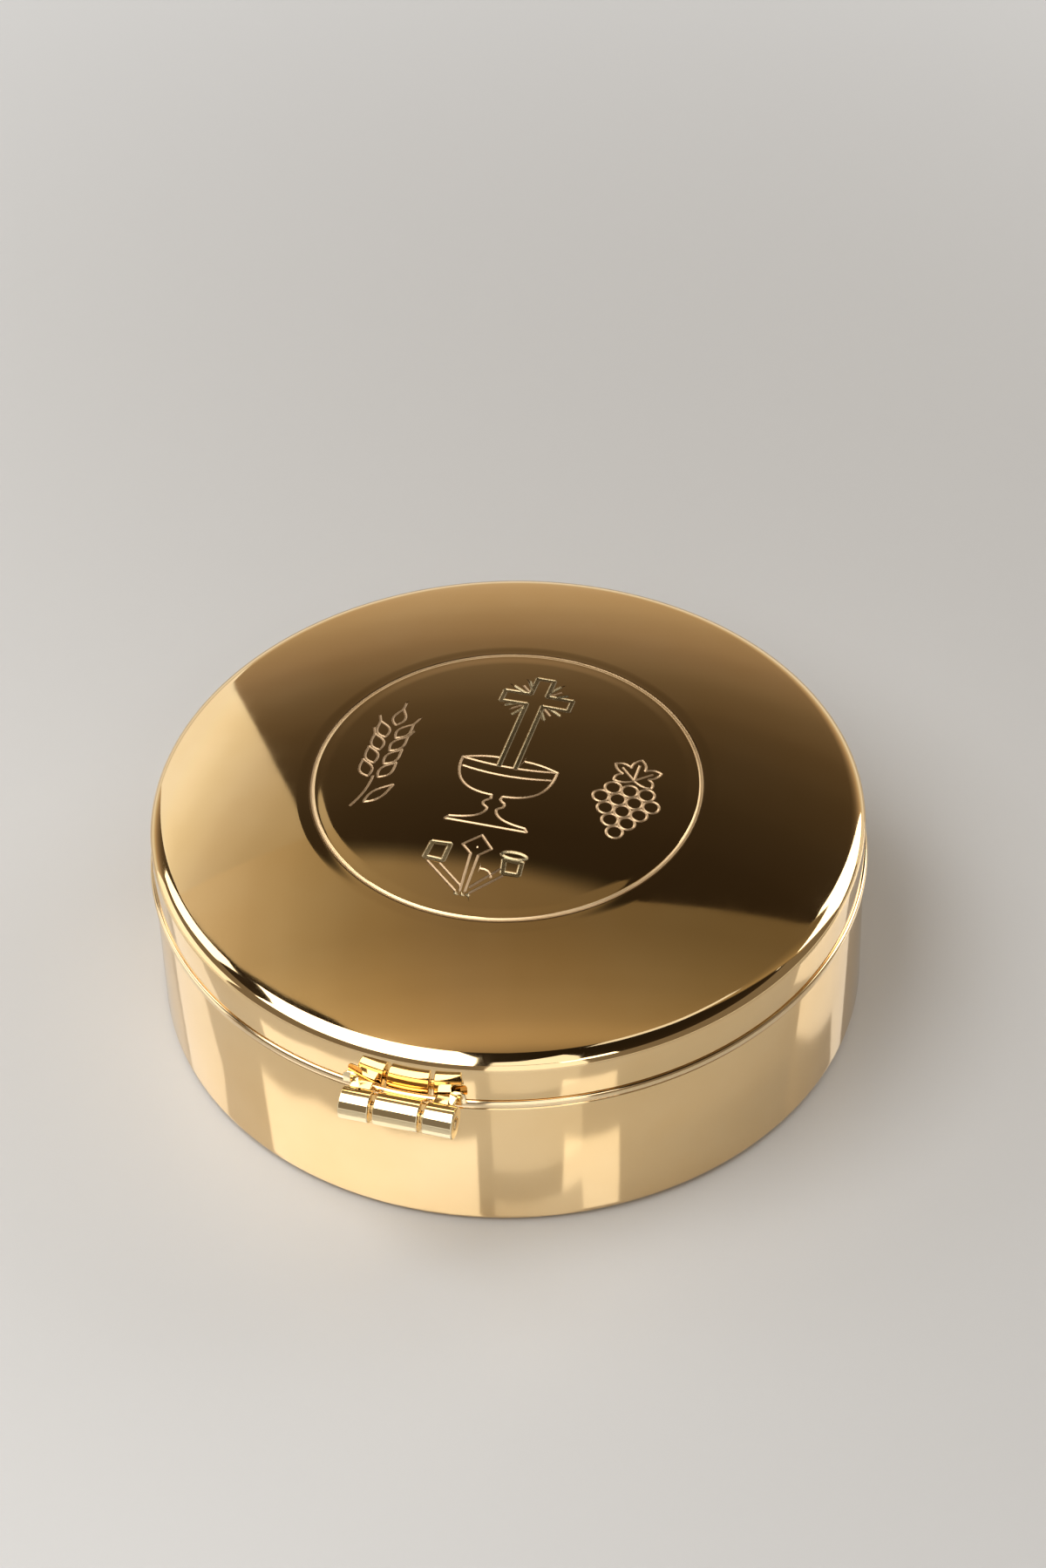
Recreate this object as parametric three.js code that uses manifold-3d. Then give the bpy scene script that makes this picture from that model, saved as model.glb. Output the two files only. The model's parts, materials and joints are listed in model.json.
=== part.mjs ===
// Round hinged host box (pyx), gilded brass. Millimetres, +Z up.
// The origin is the centre of the flat underside. The hinge lies at -Y and the clasp at +Y.

import * as THREE from 'three';
import { mergeVertices } from 'three/addons/utils/BufferGeometryUtils.js';
import Module from 'manifold-3d';

const wasm = await Module();
wasm.setup();

// Fineness of the round forms
const shellSegments = 80;
const barrelSegments = 28;

// Fits between pieces
const solderGap = 0.05;
const pinClearance = 0.05;
const partingGap = 0.15;
const collarClearance = 0.15;

// Base: a spun cup with a flat underside
const wallRadius = 31.45;
const baseHeight = 14.3;
const floorThickness = 1.0;
const baseCornerRadius = 1.0;
const innerCornerRadius = 1.2;
const baseRimRound = 0.25;

// Locating collar soldered inside the base
const collarThickness = 0.6;
const collarDepth = 3.6;
const collarRise = 1.8;
const collarRound = 0.2;

// Lid: side wall, rolled shoulder and domed crown
const lidWall = 0.8;
const lidSideHeight = 3.5;
const shoulderRadius = 1.75;
const crownEdgeSlope = THREE.MathUtils.degToRad(14);
const crownThickness = 0.8;

// Engraved circle on the crown, and the shallow dip that the tool pressed beside it
const circleRadius = 17.05;
const circleWidth = 0.4;
const circleDepth = 0.12;
const dipDepth = 0.04;
const dipReach = 1.3;

// Half-round wire soldered into a rebate round the lid's edge
const wireHeight = 0.8;
const wireProud = 0.3;
const wireRebate = 0.25;

// Hinge: two knuckles on the lid, one on the base, one pin
const hingeBarrelRadius = 1.4;
const hingeSideWidth = 2.6;
const hingeMiddleWidth = 3.9;
const hingeEndGap = 0.4;
const hingeWallClearance = 0.1;
const hingeRise = 0.2;
const hingePinRadius = 0.5;
const hingePinProud = 0.12;
const hingeWebThickness = 0.35;
const hingeWebInset = 0.4;
const hingePadHeight = 1.6;
const hingePadThickness = 0.5;
const hingeEarHeight = 1.2;
const hingeEarWidth = 1.4;
const hingeEarReach = 0.4;
const hingeEarThickness = 0.15;

// Clasp: two knuckles and a pin on the base, and a sprung leaf with a thumb lip
const claspBarrelRadius = 0.95;
const claspSideWidth = 1.7;
const claspLeafWidth = 4.4;
const claspEndGap = 0.15;
const claspWallClearance = 0.25;
const claspDrop = 2.2;
const claspPinRadius = 0.35;
const claspPinProud = 0.1;
const claspWebThickness = 0.4;
const claspWebInset = 0.15;
const claspPadHeight = 1.8;
const claspPadThickness = 0.5;
const leafClearance = 0.1;
const leafThickness = 0.5;
const lipRadius = 0.5;
const lipTurn = THREE.MathUtils.degToRad(60);

// Catch bar on the lid, under the leaf
const catchClearance = 0.05;
const catchHeight = 0.7;
const catchWidth = 3.2;
const catchLift = 0.15;

// Bevel on the ends of knuckles and pins
const endBevel = 0.12;

// Heights and radii that follow
const lidEdge = baseHeight + partingGap;
const lidInnerRadius = wallRadius - lidWall;
const collarOuterRadius = lidInnerRadius - collarClearance;
const baseInnerRadius = collarOuterRadius + solderGap;
const wireTop = lidEdge + wireHeight;
const wireRadius = wallRadius + wireProud;
const shoulderLevel = lidEdge + lidSideHeight;
const hingeLevel = lidEdge + hingeRise;
const hingeAxisRadius = wireRadius + hingeWallClearance + hingeBarrelRadius;
const hingeLength = hingeMiddleWidth + 2 * (hingeEndGap + hingeSideWidth);
const claspLevel = baseHeight - claspDrop;
const claspAxisRadius = wallRadius + claspWallClearance + claspBarrelRadius;
const claspLength = claspLeafWidth + 2 * (claspEndGap + claspSideWidth);
const leafInnerFace = wireRadius + leafClearance;
const catchLevel = wireTop + catchLift + catchHeight / 2;

// Points on an arc about (cx, cy), angles in radians from +x
function arc(cx, cy, radius, from, to, steps) {
  const points = [];
  for (let i = 0; i <= steps; i += 1) {
    const angle = from + ((to - from) * i) / steps;
    points.push([cx + radius * Math.cos(angle), cy + radius * Math.sin(angle)]);
  }
  return points;
}

// Revolves [radius, height] points, listed clockwise round the section, about Z
function revolve(points, segments) {
  const profile = points.map(([radius, height]) => new THREE.Vector2(radius, height)).reverse();
  return new THREE.LatheGeometry(profile, segments).rotateX(Math.PI / 2);
}

function ringProfile(points) {
  return [...points, points[0]];
}

// Extrudes an outline drawn in [y, z] along X, centred on X = 0
function extrudeAlongX(outline, width) {
  const shape = new THREE.Shape(outline.map(([y, z]) => new THREE.Vector2(y, z)));
  const geometry = new THREE.ExtrudeGeometry(shape, { depth: width, bevelEnabled: false });
  geometry.translate(0, 0, -width / 2);
  return geometry.rotateX(Math.PI / 2).rotateZ(Math.PI / 2);
}

// Extrudes a shape drawn in [x, z] along Y, centred on Y = 0
function extrudeAlongY(shape, depth) {
  const geometry = new THREE.ExtrudeGeometry(shape, {
    depth, bevelEnabled: false, curveSegments: 5,
  });
  return geometry.translate(0, 0, -depth / 2).rotateX(Math.PI / 2);
}

function solid(geometry) {
  const bare = geometry.clone();
  bare.deleteAttribute('normal');
  bare.deleteAttribute('uv');
  const merged = mergeVertices(bare, 1e-4);
  const mesh = new wasm.Mesh({
    numProp: 3,
    vertProperties: new Float32Array(merged.attributes.position.array),
    triVerts: new Uint32Array(merged.index.array),
  });
  return new wasm.Manifold(mesh);
}

function geometryOf(manifold) {
  const { vertProperties, triVerts } = manifold.getMesh();
  const geometry = new THREE.BufferGeometry();
  geometry.setAttribute('position', new THREE.BufferAttribute(vertProperties, 3));
  geometry.setIndex(new THREE.BufferAttribute(triVerts, 1));
  return geometry;
}

// Crown: a spherical cap that leaves the shoulder's arc at crownEdgeSlope
const crownEdgeRadius = wallRadius - shoulderRadius * (1 - Math.sin(crownEdgeSlope));
const crownEdgeLevel = shoulderLevel + shoulderRadius * Math.cos(crownEdgeSlope);
const crownSphere = crownEdgeRadius / Math.sin(crownEdgeSlope);

function crownHeight(radius) {
  const fall = crownSphere - Math.sqrt(crownSphere ** 2 - radius ** 2);
  const edgeFall = crownSphere * (1 - Math.cos(crownEdgeSlope));
  return crownEdgeLevel + edgeFall - fall;
}

// The crown dips smoothly towards the engraved circle, from both sides
function dippedHeight(radius) {
  const away = Math.abs(radius - circleRadius) - circleWidth / 2;
  const t = THREE.MathUtils.clamp(1 - away / dipReach, 0, 1);
  return crownHeight(radius) - dipDepth * t * t * (3 - 2 * t);
}

function lidOuterProfile() {
  const innerEdge = circleRadius - circleWidth / 2;
  const outerEdge = circleRadius + circleWidth / 2;
  const dipEnd = outerEdge + dipReach;
  const disc = [0, 0.3, 0.6, 0.84].map((share) => share * (innerEdge - dipReach));
  const innerDip = [1, 0.5, 0].map((share) => innerEdge - dipReach * share);
  const outerDip = [0, 0.5, 1].map((share) => outerEdge + dipReach * share);
  const crown = [0.3, 0.65].map((share) => dipEnd + share * (crownEdgeRadius - dipEnd));
  return [
    ...[...disc, ...innerDip].map((radius) => [radius, dippedHeight(radius)]),
    [circleRadius, dippedHeight(circleRadius) - circleDepth],
    ...[...outerDip, ...crown].map((radius) => [radius, dippedHeight(radius)]),
    ...arc(wallRadius - shoulderRadius, shoulderLevel, shoulderRadius,
      Math.PI / 2 - crownEdgeSlope, 0, 6),
  ];
}

function lidShell() {
  const rebateRadius = wallRadius - wireRebate;
  const rebateTop = wireTop + solderGap;
  const innerShoulder = shoulderRadius - lidWall;
  const innerCrown = [0.8, 0.5, 0.25, 0].map((share) => {
    const radius = share * crownEdgeRadius;
    return [radius, crownHeight(radius) - crownThickness];
  });
  return revolve([
    ...lidOuterProfile(),
    [wallRadius, rebateTop],
    [rebateRadius, rebateTop],
    [rebateRadius, lidEdge],
    [lidInnerRadius, lidEdge],
    ...arc(lidInnerRadius - innerShoulder, shoulderLevel, innerShoulder,
      0, Math.PI / 2 - crownEdgeSlope, 3),
    ...innerCrown,
  ], shellSegments);
}

function lidRimWire() {
  const middle = lidEdge + wireHeight / 2;
  const bulge = [];
  for (let angle = 90; angle >= -90; angle -= 30) {
    const turn = THREE.MathUtils.degToRad(angle);
    bulge.push([
      wallRadius + wireProud * Math.cos(turn),
      middle + (wireHeight / 2) * Math.sin(turn),
    ]);
  }
  const back = wallRadius - wireRebate + solderGap;
  return revolve(ringProfile([[back, wireTop], ...bulge, [back, lidEdge]]), shellSegments);
}

function baseShell() {
  return revolve([
    [0, floorThickness],
    ...arc(baseInnerRadius - innerCornerRadius, floorThickness + innerCornerRadius,
      innerCornerRadius, -Math.PI / 2, 0, 4),
    ...arc(baseInnerRadius + baseRimRound, baseHeight - baseRimRound, baseRimRound,
      Math.PI, Math.PI / 2, 2),
    ...arc(wallRadius - baseRimRound, baseHeight - baseRimRound, baseRimRound,
      Math.PI / 2, 0, 2),
    ...arc(wallRadius - baseCornerRadius, baseCornerRadius, baseCornerRadius,
      0, -Math.PI / 2, 6),
    [0, 0],
  ], shellSegments);
}

function baseCollar() {
  const inner = collarOuterRadius - collarThickness;
  const top = baseHeight + collarRise;
  return revolve(ringProfile([
    [inner, baseHeight - collarDepth],
    ...arc(inner + collarRound, top - collarRound, collarRound, Math.PI, Math.PI / 2, 2),
    ...arc(collarOuterRadius - collarRound, top - collarRound, collarRound,
      Math.PI / 2, 0, 2),
    [collarOuterRadius, baseHeight - collarDepth],
  ]), shellSegments);
}

// A bored barrel on the X axis, with bevelled ends
function barrel(radius, bore, width) {
  const half = width / 2;
  return revolve(ringProfile([
    [bore, half],
    [radius - endBevel, half],
    [radius, half - endBevel],
    [radius, endBevel - half],
    [radius - endBevel, -half],
    [bore, -half],
  ]), barrelSegments).rotateY(Math.PI / 2);
}

function pin(radius, length) {
  const half = length / 2;
  return revolve([
    [0, half],
    [radius - endBevel, half],
    [radius, half - endBevel],
    [radius, endBevel - half],
    [radius - endBevel, -half],
    [0, -half],
  ], barrelSegments).rotateY(Math.PI / 2);
}

// Foot of a knuckle, up (side = 1) or down (side = -1) along the wall: a thin web behind the
// barrel, and a round-topped pad on the wall. The axis is at y = z = 0 and the box at +Y.
function foot({ side, start, web, pad, wallDistance }) {
  const back = 2 * wallDistance;
  const webSolid = new THREE.BoxGeometry(web.to - web.from, back, web.thickness);
  webSolid.translate((web.from + web.to) / 2, back / 2, side * (start + web.thickness / 2));

  const round = Math.min(pad.to - pad.from, pad.height) * 0.4;
  const top = side * (start + pad.height - round);
  const turn = (side * Math.PI) / 2;
  const arch = new THREE.Shape();
  arch.moveTo(pad.from, side * start);
  arch.lineTo(pad.to, side * start);
  arch.absarc(pad.to - round, top, round, 0, turn, side < 0);
  arch.absarc(pad.from + round, top, round, turn, 2 * turn, side < 0);
  const front = wallDistance - pad.thickness;
  const padSolid = extrudeAlongY(arch, back - front).translate(0, (back + front) / 2, 0);
  return solid(webSolid).add(solid(padSolid));
}

// Cuts a fitted piece clear of the round wall
function clearOfWall(piece, axisRadius, axisLevel) {
  const wall = new THREE.CylinderGeometry(
    wallRadius + solderGap, wallRadius + solderGap, 4 * baseHeight, shellSegments,
  );
  wall.rotateX(Math.PI / 2).translate(0, axisRadius, -axisLevel);
  return piece.subtract(solid(wall));
}

function knuckle({ side, radius, pinRadius, width, start, web, pad,
  axisRadius, axisLevel, offset }) {
  const body = solid(barrel(radius, pinRadius + pinClearance, width));
  const strap = foot({ side, start, web, pad, wallDistance: axisRadius - wallRadius });
  const placed = body.add(strap).translate([offset, 0, 0]);
  return geometryOf(clearOfWall(placed, axisRadius, axisLevel));
}

// Outer knuckles sit on the lid; outward is the side that the ear of the foot reaches to
function lidKnuckle(outward, offset) {
  const half = hingeSideWidth / 2;
  const ear = [half + hingeEarReach - hingeEarWidth, half + hingeEarReach];
  const [from, to] = outward > 0 ? ear : [-ear[1], -ear[0]];
  return knuckle({
    side: 1, width: hingeSideWidth, offset: outward * offset,
    radius: hingeBarrelRadius, pinRadius: hingePinRadius,
    start: wireTop + 2 * solderGap - hingeLevel,
    web: { from: hingeWebInset - half, to: half - hingeWebInset, thickness: hingeWebThickness },
    pad: { from, to, height: hingeEarHeight, thickness: hingeEarThickness },
    axisRadius: hingeAxisRadius, axisLevel: hingeLevel,
  });
}

// The middle knuckle's foot starts below the round of the base's rim
function baseKnuckle() {
  const half = hingeMiddleWidth / 2 - hingeWebInset;
  return knuckle({
    side: -1, width: hingeMiddleWidth, offset: 0,
    radius: hingeBarrelRadius, pinRadius: hingePinRadius,
    start: hingeLevel - baseHeight + baseRimRound,
    web: { from: -half, to: half, thickness: hingeWebThickness },
    pad: { from: -half, to: half, height: hingePadHeight, thickness: hingePadThickness },
    axisRadius: hingeAxisRadius, axisLevel: hingeLevel,
  });
}

function claspKnuckle(offset) {
  const half = claspSideWidth / 2 - claspWebInset;
  return knuckle({
    side: -1, width: claspSideWidth, offset,
    radius: claspBarrelRadius, pinRadius: claspPinRadius,
    start: claspPinRadius + 2 * pinClearance,
    web: { from: -half, to: half, thickness: claspWebThickness },
    pad: { from: -half, to: half, height: claspPadHeight, thickness: claspPadThickness },
    axisRadius: claspAxisRadius, axisLevel: claspLevel,
  });
}

// The leaf stands on the middle knuckle; its top rolls outwards as a thumb lip
function claspLeaf() {
  const inner = claspAxisRadius - leafInnerFace;
  const outer = inner - leafThickness;
  const lipLevel = catchLevel + catchHeight / 2 - claspLevel;
  const lipCentre = outer - lipRadius;
  const outline = [
    [outer, 0],
    [inner, 0],
    ...arc(lipCentre, lipLevel, lipRadius + leafThickness, 0, lipTurn, 5),
    ...arc(lipCentre, lipLevel, lipRadius, lipTurn, 0, 5),
  ];
  const blade = solid(extrudeAlongX(outline, claspLeafWidth));
  const bore = solid(pin(claspPinRadius + pinClearance, 2 * claspLeafWidth));
  const body = solid(barrel(claspBarrelRadius, claspPinRadius + pinClearance, claspLeafWidth));
  return geometryOf(body.add(blade.subtract(bore)));
}

// A straight half-round bar on the lid's wall, just behind the leaf
function lidCatch() {
  const front = leafInnerFace - catchClearance;
  const depth = front - wallRadius;
  const outline = [
    [wallRadius - depth, -catchHeight / 2],
    ...arc(0, 0, 1, -Math.PI / 2, Math.PI / 2, 8).map(
      ([out, up]) => [wallRadius + depth * out, (catchHeight / 2) * up],
    ),
    [wallRadius - depth, catchHeight / 2],
  ];
  const bar = solid(extrudeAlongX(outline, catchWidth).translate(0, 0, catchLevel));
  return geometryOf(clearOfWall(bar, 0, 0));
}

function metal(color, roughness) {
  return new THREE.MeshStandardMaterial({ color, roughness, metalness: 1 });
}

const model = new THREE.Group();

function addPiece(parent, name, geometry, material) {
  const mesh = new THREE.Mesh(geometry, material);
  mesh.name = name;
  parent.add(mesh);
}

// The hinge and clasp groups stand on their axes. The clasp's turns to face +Y.
const hinge = new THREE.Group();
hinge.position.set(0, -hingeAxisRadius, hingeLevel);
const clasp = new THREE.Group();
clasp.position.set(0, claspAxisRadius, claspLevel);
clasp.rotation.z = Math.PI;
model.add(hinge, clasp);

const hingeOffset = hingeMiddleWidth / 2 + hingeEndGap + hingeSideWidth / 2;
const claspOffset = claspLeafWidth / 2 + claspEndGap + claspSideWidth / 2;

addPiece(model, 'base_shell', baseShell(), metal(0xc8a062, 0.12));
addPiece(model, 'base_collar', baseCollar(), metal(0xcfa868, 0.16));
addPiece(model, 'lid_shell', lidShell(), metal(0xc8a062, 0.1));
addPiece(model, 'lid_rim_wire', lidRimWire(), metal(0xd2ab6c, 0.12));
addPiece(model, 'lid_catch', lidCatch(), metal(0xe0b464, 0.12));
addPiece(hinge, 'hinge_knuckle_left', lidKnuckle(-1, hingeOffset), metal(0xe2b55e, 0.1));
addPiece(hinge, 'hinge_knuckle_right', lidKnuckle(1, hingeOffset), metal(0xe2b55e, 0.1));
addPiece(hinge, 'hinge_knuckle_middle', baseKnuckle(), metal(0xe2b55e, 0.1));
addPiece(hinge, 'hinge_pin', pin(hingePinRadius, hingeLength + 2 * hingePinProud),
  metal(0xd0a050, 0.2));
addPiece(clasp, 'clasp_knuckle_left', claspKnuckle(-claspOffset), metal(0xe2b55e, 0.1));
addPiece(clasp, 'clasp_knuckle_right', claspKnuckle(claspOffset), metal(0xe2b55e, 0.1));
addPiece(clasp, 'clasp_pin', pin(claspPinRadius, claspLength + 2 * claspPinProud),
  metal(0xd0a050, 0.2));
addPiece(clasp, 'clasp_leaf', claspLeaf(), metal(0xe2b55e, 0.1));

export default model;
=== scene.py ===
import json
from math import acos, cos, dist, hypot, pi, radians, sin
import bmesh
import bpy
import numpy as np
from mathutils import Matrix, Vector
from mathutils.geometry import delaunay_2d_cdt


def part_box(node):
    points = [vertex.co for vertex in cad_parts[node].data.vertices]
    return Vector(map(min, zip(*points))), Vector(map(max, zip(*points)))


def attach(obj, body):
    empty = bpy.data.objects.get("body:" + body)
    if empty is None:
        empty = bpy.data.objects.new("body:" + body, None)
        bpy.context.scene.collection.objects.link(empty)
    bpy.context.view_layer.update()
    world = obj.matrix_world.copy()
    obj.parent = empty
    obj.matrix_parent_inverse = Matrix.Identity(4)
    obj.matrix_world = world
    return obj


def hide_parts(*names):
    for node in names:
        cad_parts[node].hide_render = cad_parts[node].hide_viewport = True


print("Host box: loading the frame")
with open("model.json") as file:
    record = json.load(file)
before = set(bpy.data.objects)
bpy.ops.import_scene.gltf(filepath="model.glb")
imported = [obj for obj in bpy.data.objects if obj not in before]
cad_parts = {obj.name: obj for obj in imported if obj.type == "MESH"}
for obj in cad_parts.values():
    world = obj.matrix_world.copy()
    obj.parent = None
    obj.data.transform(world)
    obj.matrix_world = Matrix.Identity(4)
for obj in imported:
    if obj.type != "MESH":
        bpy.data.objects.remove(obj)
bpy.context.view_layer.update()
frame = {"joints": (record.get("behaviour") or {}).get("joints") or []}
mm = 0.001

# Sizes read from the solids, so that every piece goes where its solid is
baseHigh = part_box("base_shell")[1]
collarLow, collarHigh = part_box("base_collar")
lidLow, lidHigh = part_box("lid_shell")
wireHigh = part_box("lid_rim_wire")[1]
wallRadius = baseHigh.x
baseHeight = baseHigh.z
lidEdge = lidLow.z
wireTop = wireHigh.z
wireRadius = wireHigh.x
axes = {joint["name"]: Vector(joint["pos_m"]) for joint in frame["joints"]}

fits = {
    "solderGap": 0.05 * mm,
    "pinClearance": 0.05 * mm,
}

turning = {
    # fineness of round forms
    "segments": 288,       # round the shells
    "barrelSegments": 72,  # round the hinge barrels and pins
    "arcStep": 7.5,        # degrees per step of a rounded corner
    "nearest": 1e-7,       # two points closer than this are one
}


# Mesh helpers

def arcPoints(centre, radius, start, end):
    steps = max(3, round(abs(end - start) / turning["arcStep"]))
    angles = [radians(start + (end - start) * i / steps) for i in range(steps + 1)]
    return [(centre[0] + radius * cos(a), centre[1] + radius * sin(a)) for a in angles]


def roundedTop(inner, outer, top, edge):
    return (arcPoints((inner + edge, top - edge), edge, 180, 90)
            + arcPoints((outer - edge, top - edge), edge, 90, 0))


def turnSection(bm, sections, segments, closed=False):
    # sections are (material index, [(radius, height), ...]), clockwise round the cut
    points = []
    kinds = []
    for kind, part in sections:
        for point in part:
            if not points or dist(point, points[-1]) > turning["nearest"]:
                points.append(point)
                kinds.append(kind)
    turns = [2 * pi * i / segments for i in range(segments)]
    rings = []
    for radius, height in points:
        if radius < turning["nearest"]:
            rings.append([bm.verts.new((0, 0, height))] * segments)
        else:
            rings.append([bm.verts.new((radius * cos(t), radius * sin(t), height))
                          for t in turns])
    for i in range(len(rings) if closed else len(rings) - 1):
        first, second = rings[i], rings[(i + 1) % len(rings)]
        for j in range(segments):
            k = (j + 1) % segments
            corners = dict.fromkeys((first[j], second[j], second[k], first[k]))
            bm.faces.new(list(corners)).material_index = kinds[i]
    return rings


def addObject(name, data):
    item = bpy.data.objects.new(name, data)
    bpy.context.scene.collection.objects.link(item)
    return item


def meshOf(bm):
    mesh = bpy.data.meshes.new("blank")
    bm.to_mesh(mesh)
    bm.free()
    return mesh


def turnedMesh(sections, segments=turning["segments"], closed=False):
    bm = bmesh.new()
    turnSection(bm, sections, segments, closed)
    return meshOf(bm)


def makePiece(name, mesh, materials, body, node, smoothAngle=32):
    mesh.name = name
    for material in materials:
        mesh.materials.append(material)
    mesh.shade_smooth()
    mesh.set_sharp_from_angle(angle=radians(smoothAngle))
    piece = addObject(name, mesh)
    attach(piece, body)
    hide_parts(node)
    return piece


# Materials

def newMaterial(name):
    material = bpy.data.materials.new(name)
    material.use_nodes = True
    tree = material.node_tree
    return material, tree, tree.nodes["Principled BSDF"]


def fillNode(tree, node, *values, **named):
    # Inputs go by order or by name, with _ for a space; a socket is linked, a value is set
    for key, value in [*enumerate(values), *named.items()]:
        socket = node.inputs[key.replace("_", " ") if isinstance(key, str) else key]
        if isinstance(value, bpy.types.NodeSocket):
            tree.links.new(value, socket)
        else:
            socket.default_value = value
    return node


def addNode(tree, kind, *values, operation=None, **named):
    node = tree.nodes.new("ShaderNode" + kind)
    if operation:
        node.operation = operation
    return fillNode(tree, node, *values, **named)


def mathNode(tree, operation, *values):
    return addNode(tree, "Math", *values, operation=operation).outputs[0]


def objectPlace(tree):
    return addNode(tree, "TexCoord").outputs["Object"]


def noiseField(tree, vector, scale, detail=2.0, roughness=0.5):
    return addNode(tree, "TexNoise", Vector=vector, Scale=scale, Detail=detail,
                   Roughness=roughness).outputs["Fac"]


def remap(tree, value, low, high, fromLow=0.3, fromHigh=0.7):
    return addNode(tree, "MapRange", value, fromLow, fromHigh, low,
                   high).outputs["Result"]


def polarVector(tree, place, across, around):
    # Radius and angle about the box's axis, scaled apart, for marks of turning and buffing
    split = addNode(tree, "SeparateXYZ", place).outputs
    flat = addNode(tree, "CombineXYZ", split["X"], split["Y"]).outputs[0]
    radius = addNode(tree, "VectorMath", flat, operation="LENGTH").outputs["Value"]
    unit = addNode(tree, "VectorMath", flat, operation="NORMALIZE").outputs[0]
    aside = addNode(tree, "VectorMath", unit, operation="SCALE", Scale=around)
    level = mathNode(tree, "MULTIPLY", mathNode(tree, "ADD", radius, split["Z"]), across)
    parts = addNode(tree, "SeparateXYZ", aside.outputs[0]).outputs
    return addNode(tree, "CombineXYZ", parts["X"], parts["Y"], level).outputs[0]


goldFinishes = {
    # colours are linear; marks are the hairlines of the buffing wheel
    "polished": {"deep": (0.9, 0.645, 0.33), "pale": (0.94, 0.7, 0.39),
                 "rough": (0.03, 0.065), "wave": 0.016, "marks": 0.01},
    "bead": {"deep": (0.92, 0.69, 0.4), "pale": (0.96, 0.76, 0.49),
             "rough": (0.06, 0.12), "wave": 0.01},
    "fitting": {"deep": (0.955, 0.765, 0.46), "pale": (0.98, 0.83, 0.54),
                "rough": (0.04, 0.08), "wave": 0.015},
    "satin": {"deep": (0.86, 0.62, 0.34), "pale": (0.89, 0.66, 0.37),
              "rough": (0.23, 0.27), "marks": 0.1},
    "cut": {"deep": (0.56, 0.39, 0.23), "pale": (0.64, 0.46, 0.28), "rough": (0.34, 0.42)},
    "ring": {"deep": (0.86, 0.62, 0.35), "pale": (0.93, 0.7, 0.43), "rough": (0.42, 0.5)},
    "hammered": {"deep": (0.29, 0.235, 0.13), "pale": (0.52, 0.42, 0.25),
                 "rough": (0.24, 0.38), "grain": 0.6},
    # painted shade: dark gold for the edges of the engraved lines and the line outside the circle
    "painted_shade": {"deep": (0.14, 0.08, 0.032), "pale": (0.22, 0.13, 0.055), "rough": (0.3, 0.45)},
    "pin": {"deep": (0.78, 0.56, 0.28), "pale": (0.88, 0.66, 0.36),
            "rough": (0.12, 0.2), "marks": 0.05},
}
goldTexture = {
    # strengths where a finish has none of its own
    "wave": 0.02,
    "marks": 0.02,
    # noise: scale, detail and roughness
    "clouds": (95, 3),
    "smudges": (210, 4, 0.6),
    "hairlines": (1.0, 3, 0.65),
    "waves": (130, 1),
    "grains": (7000, 2),
    "wheel": (9000, 6),         # how often across and along its marks
    "hairlineDepth": 0.02 * mm,
    "waveDepth": 0.5 * mm,
    "grainDepth": 0.04 * mm,
}


def goldMaterial(name):
    values = goldTexture | goldFinishes[name]
    material, tree, shader = newMaterial("gold_" + name)
    place = objectPlace(tree)

    # Colour: the plating is a little deeper in broad, soft clouds
    colour = tree.nodes.new("ShaderNodeMix")
    colour.data_type = "RGBA"
    clouds = remap(tree, noiseField(tree, place, *values["clouds"]), 0, 1)
    fillNode(tree, colour, Factor=clouds, A=(*values["deep"], 1), B=(*values["pale"], 1))

    # Gloss: handling leaves patches that are less sharp
    gloss = remap(tree, noiseField(tree, place, *values["smudges"]), *values["rough"])

    # Relief: the wheel's hairlines, a slow wave of the sheet and the grain of a hammered line
    turned = polarVector(tree, place, *values["wheel"])
    marks = noiseField(tree, turned, *values["hairlines"])
    relief = addNode(tree, "Bump", Height=marks, Strength=values["marks"],
                     Distance=values["hairlineDepth"])
    waves = noiseField(tree, place, *values["waves"])
    relief = addNode(tree, "Bump", Height=waves, Strength=values["wave"],
                     Distance=values["waveDepth"], Normal=relief.outputs[0])
    if "grain" in values:
        grains = noiseField(tree, place, *values["grains"])
        relief = addNode(tree, "Bump", Height=grains, Strength=values["grain"],
                         Distance=values["grainDepth"], Normal=relief.outputs[0])
    fillNode(tree, shader, Metallic=1.0, Base_Color=colour.outputs["Result"], Roughness=gloss,
             Normal=relief.outputs[0])
    return material


print("Host box: materials")
gold = {name: goldMaterial(name) for name in goldFinishes}


# Base: spun cup and the locating collar inside it

baseShape = {
    "floor": 1.0 * mm,
    "outerCorner": 1.0 * mm,
    "innerCorner": 1.2 * mm,
    "rimRound": 0.25 * mm,
    "collarThickness": 0.6 * mm,
    "collarRound": 0.2 * mm,
}


def makeBase():
    s = baseShape
    inner = collarHigh.x + fits["solderGap"]
    inside = [(0, s["floor"])]
    inside += arcPoints((inner - s["innerCorner"], s["floor"] + s["innerCorner"]),
                        s["innerCorner"], -90, 0)
    outside = roundedTop(inner, wallRadius, baseHeight, s["rimRound"])
    outside += arcPoints((wallRadius - s["outerCorner"], s["outerCorner"]),
                         s["outerCorner"], 0, -90)
    outside.append((0, 0))
    makePiece("base_cup", turnedMesh([(1, inside), (0, outside)]),
              [gold["polished"], gold["satin"]], "base", "base_shell")


def makeCollar():
    s = baseShape
    outer = collarHigh.x
    inner = outer - s["collarThickness"]
    section = [(inner, collarLow.z)]
    section += roundedTop(inner, outer, collarHigh.z, s["collarRound"])
    section.append((outer, collarLow.z))
    makePiece("locating_collar", turnedMesh([(0, section)], closed=True), [gold["satin"]],
              "base", "base_collar")


# Lid: side wall, rolled shoulder, domed crown, engraved circle and figures

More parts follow.
